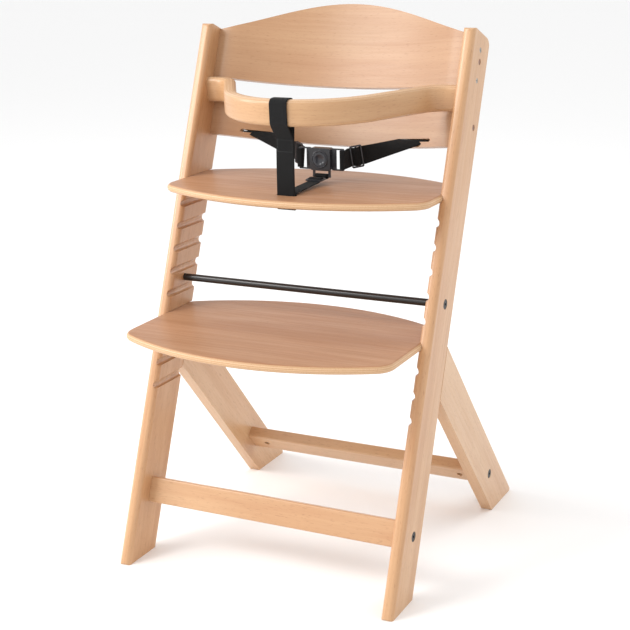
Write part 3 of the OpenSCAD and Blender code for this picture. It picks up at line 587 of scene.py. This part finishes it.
def panel_place(front_n):
    """Along, across and depth for a point of a panel whose ends start at front_n."""
    def where(point):
        n, v = from_rail(point)
        if abs(point.x) > BOW_R * sin(BEND):
            front = front_n + END_R - (END_R ** 2 - (INNER_X - abs(point.x)) ** 2) ** 0.5
        else:
            front = front_n + BOW - BOW_R + (BOW_R ** 2 - point.x ** 2) ** 0.5
        return Vector((point.x, v, min(max(n - front, 0.0), PANEL)))
    return where


def panel(node, name, front_n):
    """A backrest panel with rounded edges, layered along its bend."""
    bm = clean_copy(node)
    break_edges(bm, sharp_edges(bm, radians(50)), 2.2 * MM, 3)
    mark_place(bm, panel_place(front_n))
    weighted_normals(finish_piece(name, bm, panel_ply, "frame", (node,), 40))


UPPER_N, LOWER_N = 33.5 * MM, 49 * MM
panel("upper_backrest", "backrest_top_panel", UPPER_N)
panel("lower_backrest", "backrest_low_panel", LOWER_N)
print("bow radius, mm:", round(BOW_R / MM))

# %% [markdown]
# The safety bar is a thick bent lamination: thirteen veneers that show as fine lines along its
# top and bottom edges. Its middle line gives each vertex its length along the bar and its depth
# from outside.

# %% Safety bar
BAR_R, BEND_R, TURN, REACH = 153 * MM, 34 * MM, radians(60.6), 179.5 * MM
BAR_TOP, BAR_H, DROOP = 761 * MM, 41 * MM, radians(2.5)
bar_mid = BAR_TOP - BAR_H / 2
bar_y = tan(RAIL_LEAN) * bar_mid + 21 * MM + SHIFT_Y
straight = (REACH - (BAR_R + BEND_R) * (1 - cos(TURN))) / sin(TURN)
bar_pivot = Matrix.Translation((0, bar_y + BAR / 2, bar_mid))
droop = bar_pivot @ Matrix.Rotation(DROOP, 4, "X") @ bar_pivot.inverted()


def bar_half():
    """Middle line of the bar's right half, from its front to the rail."""
    line = []
    middle = BAR_R - BAR / 2
    for i in range(31):
        a = TURN * i / 30
        line.append(Vector((middle * sin(a), bar_y - REACH + BAR_R - middle * cos(a))))
    end = Vector(((BAR_R + BEND_R) * sin(TURN) + straight * cos(TURN), bar_y - BEND_R))
    for i in range(16):
        a = TURN * (1 - i / 15)
        line.append(end + (BEND_R + BAR / 2) * Vector((-sin(a), cos(a))))
    return line + [Vector((INNER_X, bar_y + BAR / 2))]


half_line = bar_half()


def bar_place(point):
    """Along, across and depth for a point of the bar."""
    p = droop.inverted() @ point
    flat, best, run = Vector((abs(p.x), p.y)), None, 0.0
    for a, b in zip(half_line, half_line[1:]):
        t = min(max((flat - a).dot(b - a) / (b - a).length_squared, 0), 1)
        gap = flat - a.lerp(b, t)
        if best is None or gap.length < best[0]:
            outside = gap.x * (b - a).y - gap.y * (b - a).x > 0
            depth = BAR / 2 - (gap.length if outside else -gap.length)
            best = (gap.length, run + t * (b - a).length, depth)
        run += (b - a).length
    return Vector((best[1] * (1 if p.x > 0 else -1), p.z, best[2]))


bar_bm = clean_copy("safety_bar")
mark_place(bar_bm, bar_place)
finish_piece("bar", bar_bm, bar_ply, "frame", ("safety_bar",), 50)
print("bar's straight arms, mm:", round(straight / MM, 1))

# %% [markdown]
# ## Harness
# Every strap is one profile extruded from station to station. A station is a point with the
# directions of the webbing's thickness and width there. The extrusion also writes the length
# along the strap, so the weave runs with it.

# %% Strap helper


def strap(name, stations, width, thick, node):
    """Webbing along stations [(point, thickness direction, width direction)], edges rounded."""
    bm = bmesh.new()
    grid = bmesh.ops.create_grid(bm, x_segments=1, y_segments=6, size=0.5)
    bmesh.ops.scale(bm, vec=(thick, width, 1), verts=grid["verts"])
    corners = [v for v in bm.verts if len(v.link_edges) == 2]
    bmesh.ops.bevel(bm, geom=corners, offset=thick * 0.4, segments=3, profile=0.5, material=-1,
                    affect="VERTICES")
    layer = bm.verts.layers.float_vector.new("place")
    rim = [e for e in bm.edges if e.is_boundary]
    bmesh.ops.delete(bm, geom=bm.faces[:], context="FACES_ONLY")
    bmesh.ops.delete(bm, geom=[e for e in bm.edges if e not in rim], context="EDGES")
    for vert in bm.verts:
        vert[layer] = (0, vert.co.y, vert.co.x)
    ring, run, before = list(bm.verts), 0.0, None
    first = list(bm.edges)
    for i, (point, thickness, across) in enumerate(stations):
        if i:
            out = bmesh.ops.extrude_edge_only(bm, edges=rim)["geom"]
            ring = [g for g in out if isinstance(g, bmesh.types.BMVert)]
            near = set(ring)
            rim = [g for g in out if isinstance(g, bmesh.types.BMEdge) and set(g.verts) <= near]
            run += (point - before).length
        before = point
        for vert in ring:
            local = vert[layer]
            vert[layer] = (run, local[1], local[2])
            vert.co = point + thickness * local[2] + across * local[1]
    for loop in (first, rim):
        bmesh.ops.edgeloop_fill(bm, edges=loop)
    bmesh.ops.recalc_face_normals(bm, faces=bm.faces[:])
    return finish_piece(name, bm, web, None, (node,), 60)


def arc(centre, radius, start, end, steps):
    """Points of an arc in the side plane, as (y, z), with angles in degrees."""
    turns = [radians(start + (end - start) * i / steps) for i in range(steps + 1)]
    return [Vector((centre[0] + radius * cos(a), centre[1] + radius * sin(a))) for a in turns]


def side_stations(path, x):
    """Stations for a strap whose middle line lies in the side plane."""
    stations = []
    for i, p in enumerate(path):
        way = (path[min(i + 1, len(path) - 1)] - path[max(i - 1, 0)]).normalized()
        point = Vector((x, p.x + SHIFT_Y, p.y))
        stations.append((point, Vector((0, -way.y, way.x)), Vector((1, 0, 0))))
    return stations


def evened(path, step):
    """The same path with stations no further apart than step."""
    out = [path[0]]
    for a, b in zip(path, path[1:]):
        parts = max(1, int((b - a).length / step))
        out += [a.lerp(b, k / parts) for k in range(1, parts + 1)]
    return out


# %% Crotch strap
STRAP_X, BUCKLE_X, WEB_W, WEB_T, LINK_W = 5 * MM, 10 * MM, 30 * MM, 1.6 * MM, 22 * MM
SLOT_Y, STOP_Z, STITCH_Z = 155 * MM, 586.2 * MM, 690 * MM
BAR_EDGE = 7 * MM
front_y = bar_y - SHIFT_Y - REACH
inner_r = BAR_R - BAR
hollow = inner_r - (inner_r ** 2 - (STRAP_X + WEB_W / 2) ** 2) ** 0.5


def drooped(y, z):
    """A point of the bar's section after the bar's droop, as (y, z)."""
    p = droop @ Vector((0, y + SHIFT_Y, z))
    return Vector((p.y - SHIFT_Y, p.z))


def touch(centre, radius, p, way):
    """Angle at which a line from p touches the circle, in degrees."""
    w = p - centre
    return (atan2(w.y, w.x) + way * acos(radius / w.length)) * 180 / pi


y0, y1 = front_y + BAR_EDGE, front_y + BAR - BAR_EDGE + hollow
low, high = BAR_TOP - BAR_H + BAR_EDGE, BAR_TOP - BAR_EDGE
over_r = BAR_EDGE + 0.4 * MM + WEB_T / 2
stitch_front = Vector((SLOT_Y - WEB_T / 2, STITCH_Z))
stitch_back = Vector((SLOT_Y + WEB_T / 2, STITCH_Z))
front_turn = 360 + touch(drooped(y0, low), over_r, stitch_front, -1)
back_turn = touch(drooped(y1, low), over_r, stitch_back, 1)
tail_front, tail_back = SLOT_Y - 2.5 * MM, SLOT_Y - 0.9 * MM
rod = Vector((SLOT_Y, STOP_Z))
lower = [Vector((tail_back, 640 * MM)), Vector((tail_back, STOP_Z + 5 * MM))]
rising = [Vector((tail_front, STOP_Z + 4 * MM)), Vector((tail_front, 640 * MM)),
          Vector((tail_front + 0.9 * MM, 670 * MM))]
strap_path = (
    [stitch_back - Vector((0, 1 * MM))] + lower + arc(rod, 4.2 * MM, 102, -233, 20) + rising
    + [stitch_front] + arc(drooped(y0, low), over_r, front_turn, 182.5, 4)
    + arc(drooped(y0, high), over_r, 182.5, 92.5, 8) + arc(drooped(y1, high), over_r, 92.5, 2.5, 8)
    + arc(drooped(y1, low), over_r, 2.5, back_turn, 3)
    + [stitch_back + Vector((0.2 * MM, 0)), Vector((SLOT_Y + 1.2 * MM, 668 * MM))])
crotch_stations = side_stations(evened(strap_path, 6 * MM), STRAP_X)
crotch = strap("crotch_webbing", crotch_stations, WEB_W, WEB_T, "crotch_strap")
webbing_length = sum((b - a).length for a, b in zip(strap_path, strap_path[1:]))
print("crotch strap, metres of webbing:", round(webbing_length, 3))

# %% [markdown]
# The link strap leaves the seat slot, weaves through its adjuster and loops under the buckle.
# Both it and the crotch strap bend between the frame and the seat when the seat is slid to
# another depth.

# %% Link strap
WEAVE = [(-13, 2.4), (-6.9, 2.4), (-2.9, -2.4), (2.9, -2.4), (6.9, 2.4), (13, 2.4)]
LINK_AT, LINK_RISE = Vector((247 * MM, 613.4 * MM)), radians(3.6)
LOOP_AT, LOOP_R = Vector((270 * MM, 615 * MM)), 3.35 * MM
link_y = 153.3 * MM + 1.5 * WEB_T
link_path = [Vector((link_y, 591.5 * MM))] + arc((link_y + 8 * MM, 600 * MM), 8 * MM, 180, 98, 8)
for along, back in WEAVE:
    turn = Matrix.Rotation(LINK_RISE, 2)
    link_path.append(LINK_AT + turn @ Vector((along * MM, -back * MM)))
link_path += arc(LOOP_AT, LOOP_R, -85, 95, 12) + [Vector((262 * MM, 615.4 * MM))]
link_stations = side_stations(evened(link_path, 5 * MM), BUCKLE_X)
link_strap = strap("link_webbing", link_stations, LINK_W, WEB_T, "buckle_strap")
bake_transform(crotch)
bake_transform(link_strap)

# %% Waist straps
BUCKLE_AT = Vector((BUCKLE_X, 270 * MM + SHIFT_Y, 643 * MM))
SLOT_MID, PANEL_SLOT_V = 142 * MM, 746.5 * MM
panel_slot_n = LOWER_N + BOW - BOW_R + (BOW_R ** 2 - SLOT_MID ** 2) ** 0.5 + PANEL / 2


def slot_end(side, d):
    """A point in the panel's slot, d behind the panel's middle."""
    return on_rail(side * (SLOT_MID + 0.75 * d), panel_slot_n + d, PANEL_SLOT_V)


def cut(v, d):
    """The direction nearest to v that is square to d."""
    return (v - d * v.dot(d)).normalized()


def adjuster_frame(side):
    """Place of a waist adjuster, and the ways along and behind its webbing."""
    at = Vector((BUCKLE_X + side * 52 * MM, 292 * MM + SHIFT_Y, 646 * MM))
    way = Vector((side * 0.8, 0.53, 0.14)).normalized()
    return at, way, Vector((-way.y * side, way.x * side, 0)).normalized()


def waist_stations(side):
    """From the front layer's end, round the tongue's bar, through the adjuster, to the slot."""
    at, way, back = adjuster_frame(side)
    up, r = Vector((0, 0, 1)), 2.8 * MM
    tilted = cut(up, way)
    wide, square = Vector((-1.9 * side, 0, 0)), Vector((-side / 0.8, 0, 0))
    out = at + 13 * MM * way + 2.4 * MM * back
    slot, through = (on_rail(side * SLOT_MID, panel_slot_n + d * MM, PANEL_SLOT_V) for d in (-6, 2))
    line = [(at - 11.4 * MM * way, tilted), (BUCKLE_AT + Vector((side * 41.4 * MM, -r, 0)), up)]
    for i in range(9):
        a = radians(270 - 22.5 * i)
        line.append((BUCKLE_AT + Vector((side * (35.8 * MM + r * cos(a)), r * sin(a), 0)), up))
    line.append((BUCKLE_AT + Vector((side * 39.5 * MM, r, 0)), up))
    line += [(at + along * MM * way + deep * MM * back, tilted) for along, deep in WEAVE]
    for i in range(1, 24):
        line.append((out.lerp(slot, i / 24), tilted.lerp(wide, i / 24)))
    line += [(slot, wide), (through, wide), (slot_end(side, 11.6 * MM), square)]
    stations = []
    for i, (point, across) in enumerate(line):
        way = line[min(i + 1, len(line) - 1)][0] - line[max(i - 1, 0)][0]
        stations.append((point, way.cross(across).normalized(), across))
    return stations


for side, name in ((-1, "left"), (1, "right")):
    stations = waist_stations(side)
    piece = strap(name + "_waist_webbing", stations, WEB_W, WEB_T, name + "_waist_strap")
    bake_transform(piece)
print("waist strap stations:", len(stations))

# %% [markdown]
# Stitches hold the straps' folds: short thread bars in rows across the crotch strap, just as a
# sewing machine leaves them.

# %% Stitches


def stitches(name, places, ways, length=2.6 * MM, thick=0.45 * MM):
    """Thread bars with their middles at places, each along its own way, in one piece."""
    bm = bmesh.new()
    for place, way in zip(places, ways):
        made = bmesh.ops.create_cone(bm, cap_ends=True, segments=6, radius1=thick / 2,
                                     radius2=thick / 2, depth=length)["verts"]
        turn = Vector((0, 0, 1)).rotation_difference(way).to_matrix().to_4x4()
        bmesh.ops.transform(bm, matrix=Matrix.Translation(place) @ turn, verts=made)
    return finish_piece(name, bm, thread, None)


across_x = Vector((1, 0, 0))
up_strap = Vector((0, 0, 1))
stitch_places, stitch_ways = [], []
for z in (690 * MM, 672 * MM):
    for i in range(7):
        stitch_places.append(Vector((STRAP_X + (i - 3) * 3.9 * MM, 0, z)))
        stitch_ways.append(across_x)
for i in range(4):
    for side in (-1, 1):
        stitch_places.append(Vector((STRAP_X + side * 12.4 * MM, 0, (674.5 + 4.4 * i) * MM)))
        stitch_ways.append(up_strap)
top_y, low_y = SLOT_Y - WEB_T / 2, tail_front + 0.9 * MM
for p in stitch_places:
    strap_y = low_y + (top_y - low_y) * (p.z / MM - 670) / 20
    p.y = strap_y - WEB_T / 2 + SHIFT_Y - 0.05 * MM
sewn = stitches("crotch_stitches", stitch_places, stitch_ways)
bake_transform(sewn)
print("stitches:", len(stitch_places))

# %% [markdown]
# ## Buckle
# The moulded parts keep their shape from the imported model, with every sharp edge rounded. The
# button gets its raised ring, and the tongues their ribs.

# %% Buckle and adjusters
moulded = [("buckle_body", 1.2, "frame"), ("buckle_cover", 1.1, "frame")]
for part, width in (("_tongue", 0.7), ("_adjuster", 0.6)):
    moulded += [(side + part, width, side + "_tongue_unit") for side in ("left", "right")]
moulded += [("crotch_adjuster", 0.6, "frame"), ("waist_strap_stops", 0.6, "frame")]
for node, width, body in moulded:
    name = node.replace("waist_", "").replace("crotch", "link") + "_plastic"
    softened(node, name, width * MM, black_plastic, body, 3)
softened("buckle_button", "push_button_cap", 0.5 * MM, button_plastic, "push_button",
         3, 30)

# %% Button ring
RING_R, RING_THICK, RING_Y = 13.1 * MM, 2.2 * MM, -7.7 * MM


def button_ring():
    """A raised moulded ring round the push button: a small circle spun about the button's axis."""
    bm = bmesh.new()
    made = bmesh.ops.create_circle(bm, cap_ends=False, segments=12, radius=RING_THICK / 2)["verts"]
    bmesh.ops.translate(bm, vec=BUCKLE_AT + Vector((RING_R, RING_Y, 0)), verts=made)
    bmesh.ops.spin(bm, geom=bm.verts[:] + bm.edges[:], cent=BUCKLE_AT, axis=(0, 1, 0),
                   angle=2 * pi, steps=48, use_merge=True, use_duplicate=False)
    bmesh.ops.recalc_face_normals(bm, faces=bm.faces[:])
    finish_piece("button_ring", bm, button_plastic, "frame")


button_ring()

# %% Tongue ribs
RIB_SIZE = (1.0 * MM, 1.2 * MM, 24 * MM)


def ribs(side):
    """Three moulded grip ribs on the outer part of a tongue, in front."""
    bm = bmesh.new()
    for i in range(3):
        made = bmesh.ops.create_cube(bm, size=1)["verts"]
        bmesh.ops.scale(bm, vec=RIB_SIZE, verts=made)
        middle = BUCKLE_AT + Vector((side * (20.6 + 2.1 * i) * MM, -1.9 * MM, 0))
        bmesh.ops.translate(bm, vec=middle, verts=made)
    break_edges(bm, bm.edges[:], 0.3 * MM, 2)
    name = "left" if side < 0 else "right"
    finish_piece(name + "_tongue_ribs", bm, black_plastic, name + "_tongue_unit")


for side in (-1, 1):
    ribs(side)
print("buckle pieces are in place")

# %% [markdown]
# ## Metal and small parts
# Bolt heads, screws, the tie rod and the dowels already have their shape. They get their finish
# and, where a tool meets them, a small bevel.

# %% Hardware
softened("tie_rod", "rod_between_rails", 0.5 * MM, rod_black, "frame", 2, 60)
for node in ("rod_bolts", "front_crossbar_bolts", "rear_crossbar_bolts"):
    softened(node, node + "_turned", 0.25 * MM, black_steel, "frame", 2, 50)
softened("backrest_screws", "screws", 0.2 * MM, zinc, "frame", 2, 50)
# The plugs' dark brown is partly painted shade of the bolt holes.
softened("bolt_plugs", "plugs", 0.5 * MM, plug_beech_with_painted_shade, "frame", 2, 50)
for node, material in (("backrest_bolts", zinc), ("barrel_nuts", zinc), ("seat_strap_stop", zinc),
                       ("leg_dowels", dowel_beech), ("crossbar_dowels", dowel_beech),
                       ("bar_dowels", dowel_beech)):
    shown = nodes[node]
    shown.data.materials.clear()
    shown.data.materials.append(material)
spring = finish_piece("spring", clean_copy("button_spring"), zinc, "frame",
                      ("button_spring",))
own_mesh(spring)
